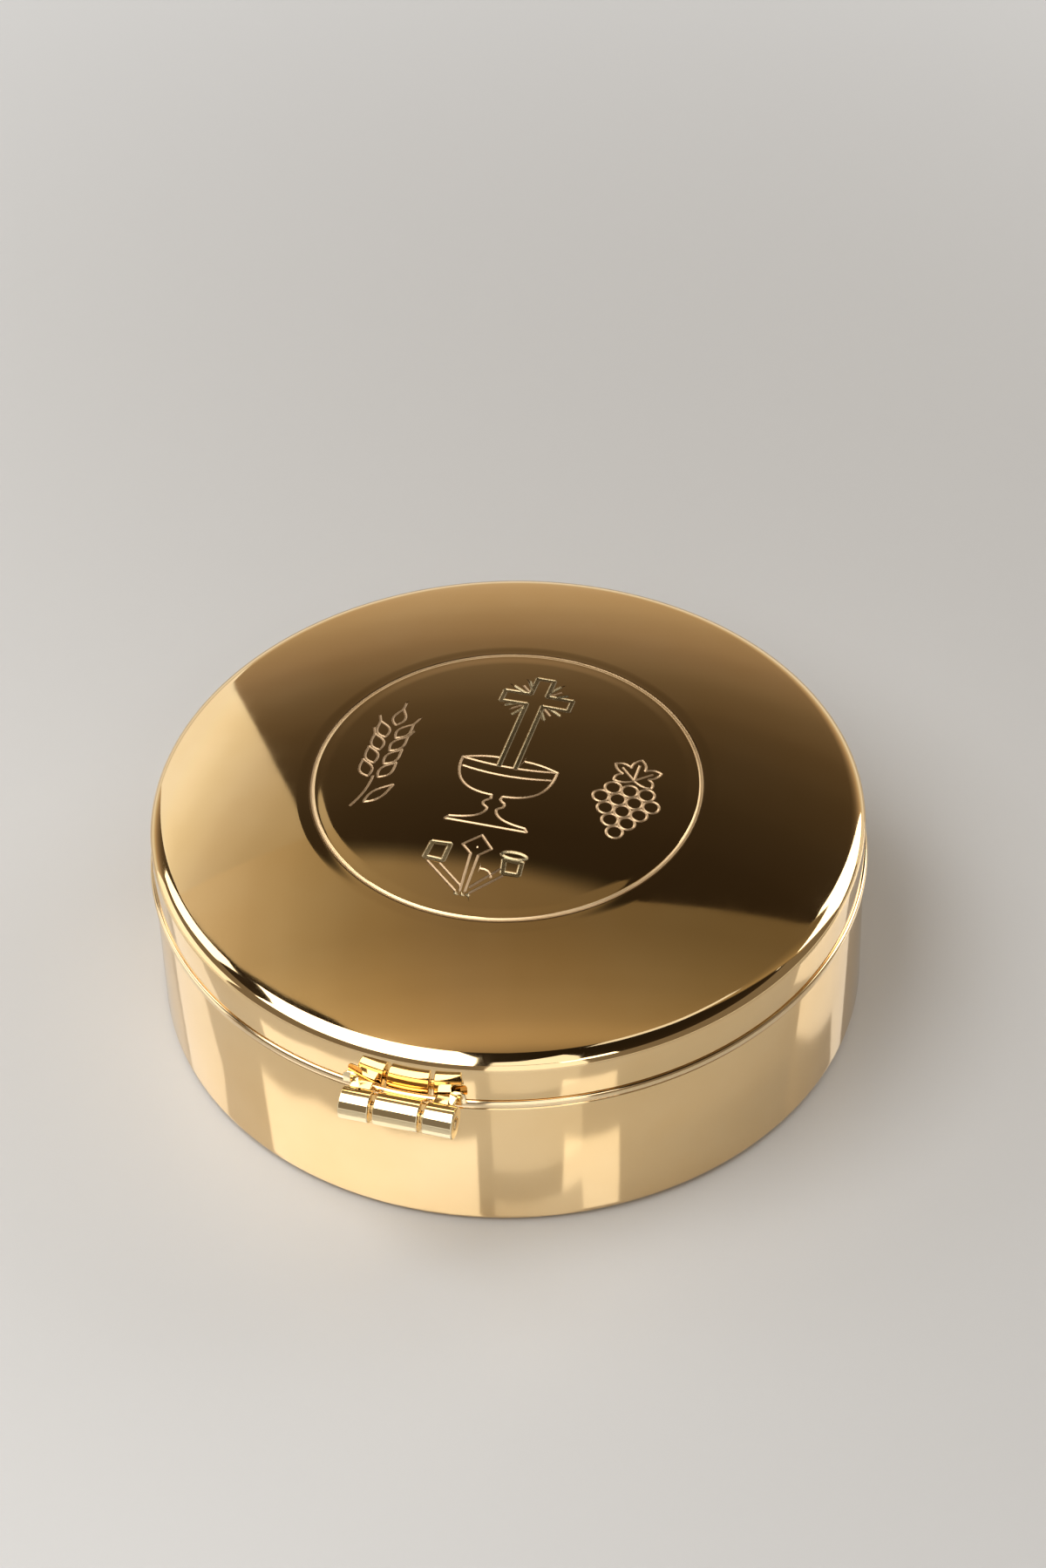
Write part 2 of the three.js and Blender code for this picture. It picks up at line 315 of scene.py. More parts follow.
lidShape = {
    "wall": 0.8 * mm,
    "sideHeight": 3.5 * mm,
    "shoulder": 1.75 * mm,
    "roll": (2.364 * mm, 1.212 * mm),  # the outside rolls tighter: half axes across and up
    "crownSlope": 14,
    "crownThickness": 0.8 * mm,
    "circleRadius": 17.05 * mm,
    "circleWidth": 0.4 * mm,
    "circleDepth": 0.07 * mm,
    "dipDepth": 0.027 * mm,     # shallow dip on both sides of the circle
    "dipReach": 1.2 * mm,
    "paintedShadeWidth": 0.10 * mm,    # painted shade: a dark line just outside the circle
    "wireRebate": 0.25 * mm,
    "wireProud": wireRadius - wallRadius,
    "rebateEdge": 0.08 * mm,
    "patchRadius": 15.25 * mm,  # inside it the crown is meshed round the engraved lines
}
slope = radians(lidShape["crownSlope"])
shoulderLevel = lidEdge + lidShape["sideHeight"]
crownEdgeRadius = wallRadius - lidShape["shoulder"] * (1 - sin(slope))
crownEdgeLevel = shoulderLevel + lidShape["shoulder"] * cos(slope)
crownSphere = crownEdgeRadius / sin(slope)


def crownHeight(radius):
    fall = crownSphere - np.sqrt(crownSphere ** 2 - radius ** 2)
    return crownEdgeLevel + crownSphere * (1 - cos(slope)) - fall


def crownSlope(radius):
    return -radius / np.sqrt(crownSphere ** 2 - radius ** 2)


def dippedHeight(radius):
    away = abs(radius - lidShape["circleRadius"]) - lidShape["circleWidth"] / 2
    t = min(max(1 - away / lidShape["dipReach"], 0), 1)
    return float(crownHeight(radius)) - lidShape["dipDepth"] * t * t * (3 - 2 * t)


engraving = {
    # millimetres from the lid's middle, y towards the clasp
    "fine": {"width": 0.28, "depth": 0.065, "flat": 0.0},
    "broad": {"width": 0.54, "depth": 0.07, "flat": 0.55},
    "ray": {"width": 0.38, "depth": 0.11, "flat": 0.0},
    "lip": 0.80,               # share of a line's half width outside which its edge is painted dark, as painted shade
    "cross": {"middle": -0.15, "centre": 10.35, "arm": 3.1, "half": 0.75, "top": 13.5, "foot": 0.8,
              "rays": (("ray", -17, 2.9), ("fine", -2, 2.55), ("ray", 13, 3.0)), "rayStart": 1.55},
    "chalice": {"rim": 1.2, "bowl": 4.3, "bowlFoot": -2.95, "knop": -4.0, "foot": -6.6,
                "footHalf": 3.7},
    "wheat": {"middle": -11.4, "lowest": -1.7, "spacing": 1.75, "pairs": 4, "tilt": 27,
              "side": 1.0, "grain": (2.35, 1.15), "awn": 0.9},
    "grapes": {"middle": 10.9, "top": 0.9, "rows": (3, 4, 3, 2, 1), "across": 1.5,
               "radius": 0.71, "leafFoot": 1.85},
    "nails": {"point": (0.2, -14.3)},
    "gridStep": 0.62,          # of the plain mesh between the lines
    "rowShare": 0.866,         # its rows lie closer than its columns, as in even triangles
    "gridClear": (0.6, 0.25),  # in steps, from the patch's rim and from the lines
    "middleRow": 0.4,          # of a line's half width, for a line without a flat floor
    "smoothBend": 0.86,        # cosine of the sharpest bend that keeps one point beside it
}
zones = {"polished": 0, "cut": 1, "hammered": 2, "satin": 3, "painted_shade": 4, "ring": 5}


def bezier(start, pull, end, steps=10):
    points = []
    for i in range(steps + 1):
        t = i / steps
        u = 1 - t
        points.append(tuple(u * u * a + 2 * u * t * b + t * t * c
                            for a, b, c in zip(start, pull, end)))
    return points


def mirrored(points):
    return [(-x, y) for x, y in reversed(points)]


def crossLines():
    c = engraving["cross"]
    x, w, arm, y = c["middle"], c["half"], c["arm"], c["centre"]
    half = [(w, c["foot"]), (w, y - w), (arm, y - w), (arm, y + w), (w, y + w), (w, c["top"])]
    lines = [("broad", [(x + a, b) for a, b in half + mirrored(half)], False)]
    # Short rays in each corner between the arms
    for corner in (45, 135, 225, 315):
        for kind, turn, reach in c["rays"]:
            angle = radians(corner + turn)
            ray = [(x + r * cos(angle), y + r * sin(angle)) for r in (c["rayStart"], reach)]
            lines.append((kind, ray, False))
    return lines


def chaliceLines():
    c = engraving["chalice"]
    rim, wide, low, knop, foot = c["rim"], c["bowl"], c["bowlFoot"], c["knop"], c["foot"]
    side = bezier((wide, rim), (wide + 0.15, low + 0.1), (0.5, low), 16)
    side += [(0.42, low - 0.4)]
    side += [(0.42 + 0.55 * cos(a), knop + 0.45 * sin(a)) for a in (1.2, 0.6, 0.0, -0.6, -1.2)]
    side += bezier((0.42, knop - 0.6), (0.5, foot + 0.65), (c["footHalf"] - 0.3, foot + 0.4), 10)
    side += [(c["footHalf"], foot)]
    front = bezier((-wide, rim), (0, rim - 0.9), (wide, rim), 14)
    band = bezier((-0.93 * wide, rim - 1.1), (0, rim - 2.05), (0.93 * wide, rim - 1.1), 12)
    back = bezier((-wide, rim), (-0.6 * wide, rim + 0.62), (-1.15, rim + 0.62), 8)
    return [("fine", points, False)
            for points in (side + mirrored(side), front, band, back, mirrored(back))]


def heading(turn):
    return Vector((sin(radians(turn)), cos(radians(turn))))


def grainShape(centre, turn, length, width):
    # An oval with pointed ends, widest below its middle
    along = heading(turn)
    aside = Vector((along.y, -along.x))
    shares = [i / 8 for i in range(9)]
    points = []
    for side, steps in ((1, shares), (-1, shares[7:0:-1])):
        for t in steps:
            out = side * width / 2 * sin(pi * t ** 0.8) ** 1.15
            points.append(tuple(Vector(centre) + along * (t - 0.5) * length + aside * out))
    return points


def wheatLines():
    w = engraving["wheat"]
    middle, lowest = w["middle"], w["lowest"]
    length, width = w["grain"]
    stem = bezier((middle - 0.9, -6.6), (middle + 0.1, -4.6), (middle, lowest - 0.9), 8)
    lines = [("fine", stem, False)]
    ears = [((middle + side * w["side"], lowest + w["spacing"] * i), side * w["tilt"])
            for i in range(w["pairs"]) for side in (-1, 1)]
    ears.append(((middle, lowest + w["spacing"] * w["pairs"] + 0.1), 0))
    for centre, turn in ears:
        lines.append(("fine", grainShape(centre, turn, length, width), True))
        if centre[1] > lowest + 3:
            tip = Vector(centre) + heading(turn) * length / 2
            end = tip + heading(turn * 0.8) * w["awn"]
            lines.append(("fine", [tuple(tip), tuple(end)], False))
    lines.append(("fine", grainShape((middle + 1.15, -4.7), 38, 3.2, 1.05), True))
    return lines


def grapeLines():
    g = engraving["grapes"]
    lines = []
    for row, count in enumerate(g["rows"]):
        for i in range(count):
            centre = (g["middle"] + (i - (count - 1) / 2) * g["across"],
                      g["top"] - row * g["across"] * 0.87)
            lines.append(("fine", arcPoints(centre, g["radius"], 0, 345)[::2], True))
    # Vine leaf: half its outline from the tip to the stalk, then its mirror image
    half = [(0, 3.3)]
    for pull, end in (((0.75, 2.7), (0.62, 2.0)), ((1.3, 2.6), (2.05, 2.15)),
                      ((1.95, 1.45), (1.15, 1.05)), ((1.85, 0.8), (1.7, 0.05)),
                      ((0.9, -0.25), (0, 0.45))):
        half += bezier(half[-1], pull, end, 5)[1:]
    leaf = [(g["middle"] + x, g["leafFoot"] + y) for x, y in half[:-1] + mirrored(half)[:-1]]
    lines.append(("fine", leaf, True))
    for tip in ((0, 2.6), (1.4, 1.85), (-1.4, 1.85)):
        lines.append(("fine", [(g["middle"], g["leafFoot"] + 0.5),
                               (g["middle"] + tip[0], g["leafFoot"] + tip[1])], False))
    return lines


def nailLines():
    x, y = engraving["nails"]["point"]
    left = [(-3.9, -9.5), (-2.3, -9.45), (-2.4, -11.4), (-4.1, -11.25)]
    middle = [(x - 0.25, y), (-0.3, -10.1), (-1.28, -9.2), (0.07, -7.85), (1.32, -9.2),
              (0.4, -10.15), (x + 0.2, y)]
    cap = [(3.4 + 1.1 * cos(a), -9.5 + 0.38 * sin(a)) for a in np.linspace(0, 2 * pi, 17)[:-1]]
    right = [(2.7, -10.1), (4.25, -10.1), (4.35, -11.5), (2.95, -11.55)]
    lines = [("broad", left, True), ("fine", middle, False), ("ray", cap, True),
             ("broad", right, True)]
    for start, end in (((-3.75, -11.65), (x - 0.65, y - 0.1)),
                       ((-2.65, -11.7), (x - 0.4, y + 0.55)),
                       ((2.75, -11.1), (x + 0.45, y + 0.5)),
                       ((3.1, -11.85), (x + 0.6, y - 0.1)), ((0.0, -9.3), (0.12, -9.3))):
        lines.append(("fine", [start, end], False))
    lines.append(("fine", arcPoints((1.15, -12.55), 1.0, 100, 5)[::3], False))
    for dot in (-0.5, 0.05, 0.6):
        lines.append(("ray", [(x + dot - 0.05, y - 0.35), (x + dot + 0.05, y - 0.45)], False))
    return lines


def stretches(points, closed):
    return zip(points, points[1:] + points[:1] if closed else points[1:])


def offsetLine(points, closed, distance):
    # A smooth bend keeps one point beside it and a sharp corner gets two
    normals = [(Vector(b) - Vector(a)).normalized().orthogonal()
               for a, b in stretches(points, closed)]
    out = []
    for i, point in enumerate(points):
        before = normals[i - 1] if (closed or i > 0) else normals[0]
        after = normals[i] if i < len(normals) else normals[-1]
        here = Vector(point)
        if before.dot(after) > engraving["smoothBend"]:
            out.append(here + (before + after).normalized() * distance)
        else:
            out.append(here + before * distance)
            out.append(here + after * distance)
    return out


class CutLines:
    # The engraved lines as arrays, for depth and slope at any place

    def __init__(self, lines):
        rows = []
        for kind, points, closed in lines:
            tool = engraving[kind]
            for a, b in stretches(points, closed):
                rows.append((*a, *b, tool["width"] / 2, tool["depth"], tool["flat"],
                             kind != "fine"))
        rows = np.array(rows)
        self.start = rows[:, :2]
        self.span = rows[:, 2:4] - self.start
        self.half, self.depth, self.flat = rows[:, 4:7].T
        self.rough = rows[:, 7] > 0

    def offsets(self, places):
        # From the nearest place of every line to each of the places, and how far that is
        lengths = np.maximum((self.span ** 2).sum(1), 1e-12)
        offset = places[:, None, :] - self.start[None]
        t = np.clip((offset * self.span[None]).sum(2) / lengths, 0, 1)
        away = offset - t[:, :, None] * self.span[None]
        return away, np.sqrt((away ** 2).sum(2))

    def nearest(self, places):
        # Depth, outward slope as a vector, and finish at each place, in millimetres
        depth = np.zeros(len(places))
        slopes = np.zeros((len(places), 2))
        finish = np.zeros(len(places), int)
        for first in range(0, len(places), 4000):
            some = places[first:first + 4000]
            away, distance = self.offsets(some)
            share = distance / self.half
            flank = np.clip((1 - share) / (1 - self.flat), 0, 1)
            best = (self.depth * flank).argmax(1)
            rows = np.arange(len(some))
            flank, share = flank[rows, best], share[rows, best]
            inCut = flank > 1e-6
            run = (1 - self.flat[best]) * self.half[best]
            rise = np.where(flank < 0.999, self.depth[best] / run, 0)
            unit = away[rows, best] / np.maximum(distance[rows, best], 1e-9)[:, None]
            kind = np.where(self.rough[best], zones["hammered"], zones["cut"])
            # the outer edge of each cut is painted dark, as painted shade
            kind = np.where(share > engraving["lip"], zones["painted_shade"], kind)
            last = first + len(some)
            depth[first:last] = self.depth[best] * flank
            slopes[first:last] = np.where(inCut[:, None], unit * rise[:, None], 0)
            finish[first:last] = np.where(inCut, kind, zones["polished"])
        return depth, slopes, finish

    def clearance(self, places):
        # Distance to the edge of the nearest line
        return (self.offsets(places)[1] - self.half).min(1)


def engravedPatch(boundary):
    # The cuts, with triangles that follow them: places in mm, corners and the boundary's indices
    lines = crossLines() + chaliceLines() + wheatLines() + grapeLines() + nailLines()
    cuts = CutLines(lines)
    places = [Vector(p) for p in boundary]
    edges = [(i, (i + 1) % len(boundary)) for i in range(len(boundary))]

    def addLine(points, closed):
        first = len(places)
        places.extend(Vector(p) for p in points)
        edges.extend((first + i, first + i + 1) for i in range(len(points) - 1))
        if closed:
            edges.append((len(places) - 1, first))

    for kind, points, closed in lines:
        tool = engraving[kind]
        half = tool["width"] / 2
        addLine(points, closed)
        for row in (1, engraving["lip"], tool["flat"] or engraving["middleRow"]):
            for side in (-1, 1):
                addLine(offsetLine(points, closed, side * row * half), closed)
    step = engraving["gridStep"]
    share = engraving["rowShare"]
    rimClear, lineClear = engraving["gridClear"]
    reach = lidShape["patchRadius"] / mm
    grid = []
    for row in range(int(2 * reach / (step * share)) + 1):
        y = -reach + row * step * share
        for column in range(int(2 * reach / step) + 1):
            x = -reach + (column + 0.5 * (row % 2)) * step
            if hypot(x, y) < reach - step * rimClear:
                grid.append((x, y))
    grid = np.array(grid)
    places += [Vector(place) for place in grid[cuts.clearance(grid) > step * lineClear]]
    found, _, triangles, sources, _, _ = delaunay_2d_cdt(places, edges, [], 0, 1e-5)
    indexOf = {i: index for index, source in enumerate(sources) for i in source}
    ring = [indexOf[i] for i in range(len(boundary))]
    return cuts, np.array([tuple(p) for p in found]), triangles, ring


def makeLid():
    s = lidShape
    groove = s["circleRadius"]
    half = s["circleWidth"] / 2
    painted_shade = groove + half + s["paintedShadeWidth"]
    dipEnd = groove + half + s["dipReach"]

    def crownLine(start, end, steps):
        return [(r, dippedHeight(r)) for r in np.linspace(start, end, steps)]

    crown = crownLine(s["patchRadius"], groove - half, 24)
    line = []
    for share in (-0.75, -0.4, 0, 0.4, 0.75):
        radius = groove + share * half
        line.append((radius, dippedHeight(radius) - s["circleDepth"] * (1 - share ** 2)))
    lip = crownLine(groove + half, painted_shade, 2)
    outer = crownLine(painted_shade, dipEnd, 18) + crownLine(dipEnd, crownEdgeRadius, 16)
    across, up = s["roll"]
    first = acos(1 - (wallRadius - crownEdgeRadius) / across)
    shoulder = [(wallRadius + across * (cos(t) - 1), crownEdgeLevel + up * (sin(t) - sin(first)))
                for t in np.linspace(first, 0, 26)]
    rebateRadius = wallRadius - s["wireRebate"]
    rebateTop = wireTop + fits["solderGap"]
    edge = s["rebateEdge"]
    side = arcPoints((wallRadius - edge, rebateTop + edge), edge, 0, -90)
    side += [(rebateRadius, rebateTop), (rebateRadius, lidEdge)]
    innerRadius = wallRadius - s["wall"]
    innerShoulder = s["shoulder"] - s["wall"]
    inside = [(innerRadius, lidEdge)]
    inside += arcPoints((innerRadius - innerShoulder, shoulderLevel), innerShoulder,
                        0, 90 - s["crownSlope"])
    inside += [(r, float(crownHeight(r)) - s["crownThickness"])
               for r in np.linspace(0.97 * crownEdgeRadius, 0, 18)]
    bm = bmesh.new()
    rings = turnSection(bm, [(zones["polished"], crown[:-1]),
                             (zones["ring"], [crown[-1]] + line[:-1]),
                             # painted shade: a dark ring just outside the engraved circle
                             (zones["painted_shade"], [line[-1], lip[0]]),
                             (zones["polished"], outer + shoulder + side),
                             (zones["satin"], inside)], turning["segments"])
    boundary = [(v.co.x / mm, v.co.y / mm) for v in rings[0]]
    cuts, places, triangles, ring = engravedPatch(boundary)
    depth, _, _ = cuts.nearest(places)
    radii = np.hypot(places[:, 0], places[:, 1]) * mm
    heights = crownHeight(radii) - depth * mm
    onRing = {index: rings[0][i] for i, index in enumerate(ring)}
    verts = [onRing[i] if i in onRing else bm.verts.new((x * mm, y * mm, z))
             for i, ((x, y), z) in enumerate(zip(places, heights))]
    firstFace = len(bm.faces)
    centres = np.array([places[list(t)].mean(0) for t in triangles])
    finishes = cuts.nearest(centres)[2]
    for triangle, finish in zip(triangles, finishes):
        bm.faces.new([verts[i] for i in triangle]).material_index = int(finish)
    bmesh.ops.delete(bm, geom=[v for v in bm.verts if not v.link_faces], context="VERTS")
    lid = makePiece("lid_dome", meshOf(bm), [gold[name] for name in zones], "lid", "lid_shell")
    setPatchNormals(lid.data, cuts, firstFace)


def setPatchNormals(mesh, cuts, firstFace):
    # Exact normals keep the mirror finish true on the uneven triangles round the lines
    loops = np.zeros((len(mesh.loops), 3))
    corners = np.array([[mesh.vertices[i].co[:2] for i in p.vertices]
                        for p in mesh.polygons[firstFace:]]) / mm
    middles = corners.mean(1, keepdims=True)
    inCut = cuts.nearest(middles[:, 0])[0] > 0
    shifted = (corners + 0.03 * (middles - corners)).reshape(-1, 2)
    slopes = cuts.nearest(shifted)[1] * np.repeat(inCut, 3)[:, None]
    flat = corners.reshape(-1, 2)
    radii = np.maximum(np.hypot(flat[:, 0], flat[:, 1]), 1e-6)
    fall = crownSlope(radii * mm)[:, None] * flat / radii[:, None]
    normals = np.concatenate([-(fall + slopes), np.ones((len(flat), 1))], axis=1)
    normals /= np.linalg.norm(normals, axis=1, keepdims=True)
    start = mesh.polygons[firstFace].loop_start
    loops[start:start + len(normals)] = normals
    mesh.normals_split_custom_set([tuple(n) for n in loops])


def makeRimWire():
    s = lidShape
    height = wireTop - lidEdge
    back = wallRadius - s["wireRebate"] + fits["solderGap"]
    section = [(back, wireTop)]
    for i in range(17):
        angle = radians(90 - 180 * i / 16)
        section.append((wallRadius + s["wireProud"] * cos(angle),
                        lidEdge + height / 2 * (1 + sin(angle))))
    section.append((back, lidEdge))
    makePiece("rim_bead", turnedMesh([(0, section)], closed=True), [gold["bead"]],
              "lid", "lid_rim_wire", 40)


print("Host box: base and collar")
makeBase()
makeCollar()
print("Host box: lid with its engraving")
makeLid()
makeRimWire()


# Hinge, clasp and catch

hinge = {
    "barrelRadius": 1.4 * mm,
    "sideWidth": 2.6 * mm,
    "pinRadius": 0.5 * mm,
    "webThickness": 0.35 * mm,
    "webInset": 0.4 * mm,
    "padHeight": 1.6 * mm,
    "padThickness": 0.5 * mm,
    "earHeight": 1.2 * mm,
    "earWidth": 1.4 * mm,
    "earReach": 0.4 * mm,
    "earThickness": 0.15 * mm,
}
clasp = {
    "barrelRadius": 0.95 * mm,
    "pinRadius": 0.35 * mm,
    "webThickness": 0.4 * mm,
    "webInset": 0.15 * mm,
    "padHeight": 1.8 * mm,
    "padThickness": 0.5 * mm,
    "leafThickness": 0.5 * mm,
    "lipRadius": 0.5 * mm,
    "lipTurn": 60,
}
edges = {
    "barrelEnd": 0.12 * mm,
    "softEdge": 0.05 * mm,
    "sharpAngle": 40,
    "weld": 0.002 * mm,
    "padCorner": 0.4,      # of the pad's shorter side
}


def roundBar(radius, length, bore=0):
    # A pin, or with a bore a barrel, about X with its ends bevelled
    half = length / 2
    end = edges["barrelEnd"]
    lip = end / 2
    rim = arcPoints((radius - end, half - end), end, 90, 0)
    rim += arcPoints((radius - end, end - half), end, 0, -90)
    if bore:
        section = [(bore, half - lip), (bore + lip, half), *rim, (bore + lip, -half),
                   (bore, lip - half)]
    else:
        section = [(0, half), *rim, (0, -half)]
    bar = turnedMesh([(0, section)], turning["barrelSegments"], closed=bore > 0)
    bar.transform(Matrix.Rotation(pi / 2, 4, "Y"))
    return bar


def prism(outline, axis, width, shift=0):
    # An outline in y and z drawn out along X, or in x and z drawn out along Y, with soft edges
    bm = bmesh.new()
    ends = []
    for side in (shift - width / 2, shift + width / 2):
        ends.append([bm.verts.new((side, a, b) if axis == "X" else (a, side, b))
                     for a, b in outline])
    bm.faces.new(ends[0])
    bm.faces.new(ends[1][::-1])
    for i in range(len(outline)):
        j = (i + 1) % len(outline)
        bm.faces.new((ends[0][i], ends[1][i], ends[1][j], ends[0][j]))
    bmesh.ops.recalc_face_normals(bm, faces=bm.faces)
    sharp = [e for e in bm.edges if e.calc_face_angle() > radians(edges["sharpAngle"])]
    bmesh.ops.bevel(bm, geom=sharp, offset=edges["softEdge"], segments=2, profile=0.5,
                    affect="EDGES", clamp_overlap=True)
    return meshOf(bm)


def combine(first, second, operation):
    # Joins, cuts or intersects two closed meshes with the exact boolean solver
    objects = [addObject("blank", mesh) for mesh in (first, second)]
    modifier = objects[0].modifiers.new("cut", "BOOLEAN")
    modifier.operation = operation
    modifier.solver = "EXACT"
    modifier.object = objects[1]
    bpy.context.view_layer.update()
    evaluated = objects[0].evaluated_get(bpy.context.evaluated_depsgraph_get())
    result = bpy.data.meshes.new_from_object(evaluated)
    for item in objects:
        bpy.data.objects.remove(item)
    return result


def wallMesh(axis):
    # The round wall as a cylinder, in the frame of a fitting whose axis is at this place
    radius = wallRadius + fits["solderGap"]
    wall = turnedMesh([(0, [(0, 2 * lidHigh.z), (radius, 2 * lidHigh.z), (radius, -lidHigh.z),
                            (0, -lidHigh.z)])])
    wall.transform(Matrix.Translation(-axis))
    return wall


def knuckleMesh(values, axis, towards, side, start, width, web, pad):
    # Barrel about X, web and pad in the fitting's own frame. towards is the sign of Y on which
    # the box lies, side is up or down along the wall, and web and pad start with their ends.
    wallDistance = abs(axis.y) - wallRadius
    back = 2 * wallDistance
    low, high = sorted((side * start, side * (start + values["webThickness"])))
    strap = prism([(0, low), (towards * back, low), (towards * back, high), (0, high)], "X",
                  web[1] - web[0], (web[0] + web[1]) / 2)
    left, right, height, thickness = pad
    corner = min(right - left, height) * edges["padCorner"]
    top = start + height - corner
    arch = [(left, side * start), (right, side * start)]
    arch += [(x, side * z) for x, z in arcPoints((right - corner, top), corner, 0, 90)
             + arcPoints((left + corner, top), corner, 90, 180)]
    front = wallDistance - thickness
    plate = prism(arch, "Y", back - front, towards * (back + front) / 2)
    bore = values["pinRadius"] + fits["pinClearance"]
    barrel = roundBar(values["barrelRadius"], width, bore)
    whole = combine(combine(barrel, strap, "UNION"), plate, "UNION")
    return mergeClose(combine(whole, wallMesh(axis), "DIFFERENCE"))


def mergeClose(mesh):
    bm = bmesh.new()
    bm.from_mesh(mesh)
    bmesh.ops.remove_doubles(bm, verts=bm.verts, dist=edges["weld"])
    bm.to_mesh(mesh)
    bm.free()
    return mesh


def placeFitting(name, mesh, place, finish, body, node):
    mesh.transform(Matrix.Translation(place))
    makePiece(name, mesh, [gold[finish]], body, node, 35)


def makeHinge():
    axis = axes["lid_hinge"]
    half = hinge["sideWidth"] / 2
    inset = hinge["webInset"]
    # Outer knuckles: on the lid, each with an ear that reaches out past its end
    for place, outward in (("left", -1), ("right", 1)):
        node = "hinge_knuckle_" + place
        low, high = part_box(node)
        centre = low.x + half if outward > 0 else high.x - half
        reach = half + hinge["earReach"]
        ends = sorted((outward * (reach - hinge["earWidth"]), outward * reach))
        start = wireTop + 2 * fits["solderGap"] - axis.z
        mesh = knuckleMesh(hinge, axis, 1, 1, start, hinge["sideWidth"],
                           (inset - half, half - inset),
                           (*ends, hinge["earHeight"], hinge["earThickness"]))
        placeFitting("knuckle_" + place, mesh, Vector((centre, axis.y, axis.z)), "fitting",
                     "lid", node)
    # Middle knuckle: on the base, its foot below the round of the rim
    low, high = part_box("hinge_knuckle_middle")
    half = high.x - inset
    start = axis.z - baseHeight + baseShape["rimRound"]
    mesh = knuckleMesh(hinge, axis, 1, -1, start, high.x - low.x, (-half, half),
                       (-half, half, hinge["padHeight"], hinge["padThickness"]))
    placeFitting("knuckle_middle", mesh, axis, "fitting", "base", "hinge_knuckle_middle")
    low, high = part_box("hinge_pin")
    placeFitting("pin_of_hinge", roundBar(hinge["pinRadius"], high.x - low.x), axis,
                 "pin", "base", "hinge_pin")


def makeClasp():
    axis = axes["clasp_hinge"]
    start = clasp["pinRadius"] + 2 * fits["pinClearance"]
    for place in ("left", "right"):
        node = "clasp_knuckle_" + place
        low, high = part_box(node)
        half = (high.x - low.x) / 2 - clasp["webInset"]
        mesh = knuckleMesh(clasp, axis, -1, -1, start, high.x - low.x, (-half, half),
                           (-half, half, clasp["padHeight"], clasp["padThickness"]))
        centre = Vector(((low.x + high.x) / 2, axis.y, axis.z))
        placeFitting("clasp_lug_" + place, mesh, centre, "fitting", "base", node)
    low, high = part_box("clasp_pin")
    placeFitting("pin_of_clasp", roundBar(clasp["pinRadius"], high.x - low.x), axis,
                 "pin", "base", "clasp_pin")


def makeLeaf():
    # The leaf stands on the middle barrel and its top rolls outwards as a thumb lip
    axis = axes["clasp_hinge"]
    low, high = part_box("clasp_leaf")
    width = high.x - low.x
    bore = clasp["pinRadius"] + fits["pinClearance"]
    inner = low.y - axis.y
    outer = inner + clasp["leafThickness"]
    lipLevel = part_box("lid_catch")[1].z - axis.z
    lipCentre = (outer + clasp["lipRadius"], lipLevel)
    outline = [(outer, 0), (inner, 0)]
    outline += arcPoints(lipCentre, clasp["lipRadius"] + clasp["leafThickness"],
                         180, 180 - clasp["lipTurn"])
    outline += arcPoints(lipCentre, clasp["lipRadius"], 180 - clasp["lipTurn"], 180)
    blade = combine(prism(outline, "X", width), roundBar(bore, 2 * width), "DIFFERENCE")
    barrel = roundBar(clasp["barrelRadius"], width, bore)
    leaf = mergeClose(combine(barrel, blade, "UNION"))
    placeFitting("spring_leaf", leaf, axis, "fitting", "clasp", "clasp_leaf")


def makeCatch():
    low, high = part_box("lid_catch")
    middle = (low.z + high.z) / 2
    half = (high.z - low.z) / 2
    depth = high.y - wallRadius
    outline = [(wallRadius - depth, middle - half)]
    outline += [(wallRadius + depth * cos(radians(a)), middle + half * sin(radians(a)))
                for a in range(-90, 91, 10)]
    outline.append((wallRadius - depth, middle + half))
    origin = Vector()
    bar = combine(prism(outline, "X", high.x - low.x), wallMesh(origin), "DIFFERENCE")
    placeFitting("catch_bar", mergeClose(bar), origin, "fitting", "lid", "lid_catch")


print("Host box: hinge, clasp and catch")
makeHinge()
makeClasp()
makeLeaf()
makeCatch()


# Camera at the photograph's viewing angle

view = {
    "turn": 17,            # degrees round the box, from straight in front of the hinge
    "pitch": 42.7,
    "roll": -1.75,
    "distance": 381 * mm,
    "aside": 1.43 * mm,    # how far the camera's line passes beside and over the origin
    "above": 16.16 * mm,
    "lens": 144,
    "sensor": 36,
    "clip": (10 * mm, 50),
}


def seenFromCamera():
    # Turns a place as the camera sees it into a place round the box
    return Matrix.Rotation(radians(view["turn"]), 4, "Z")


def makeCamera():
    pitch, roll = radians(view["pitch"]), radians(view["roll"])
    back = Vector((0, -cos(pitch), sin(pitch)))
    right = Vector((1, 0, 0))
    up = Vector((0, sin(pitch), cos(pitch)))
    place = view["distance"] * back + view["aside"] * right + view["above"] * up
    xAxis = cos(roll) * right + sin(roll) * up
    yAxis = cos(roll) * up - sin(roll) * right
    matrix = Matrix((xAxis, yAxis, back)).transposed().to_4x4()
    matrix.translation = place
    data = bpy.data.cameras.new("camera")
    data.sensor_fit = "HORIZONTAL"
    data.sensor_width = view["sensor"]
    data.lens = view["lens"]
    data.clip_start, data.clip_end = view["clip"]
    camera = addObject("camera", data)
    camera.matrix_world = seenFromCamera() @ matrix
    bpy.context.scene.camera = camera


# Studio: pale floor, soft boxes and glowing cards. Places are seen from the camera:
# x to its right, y away from it, z up, in metres.

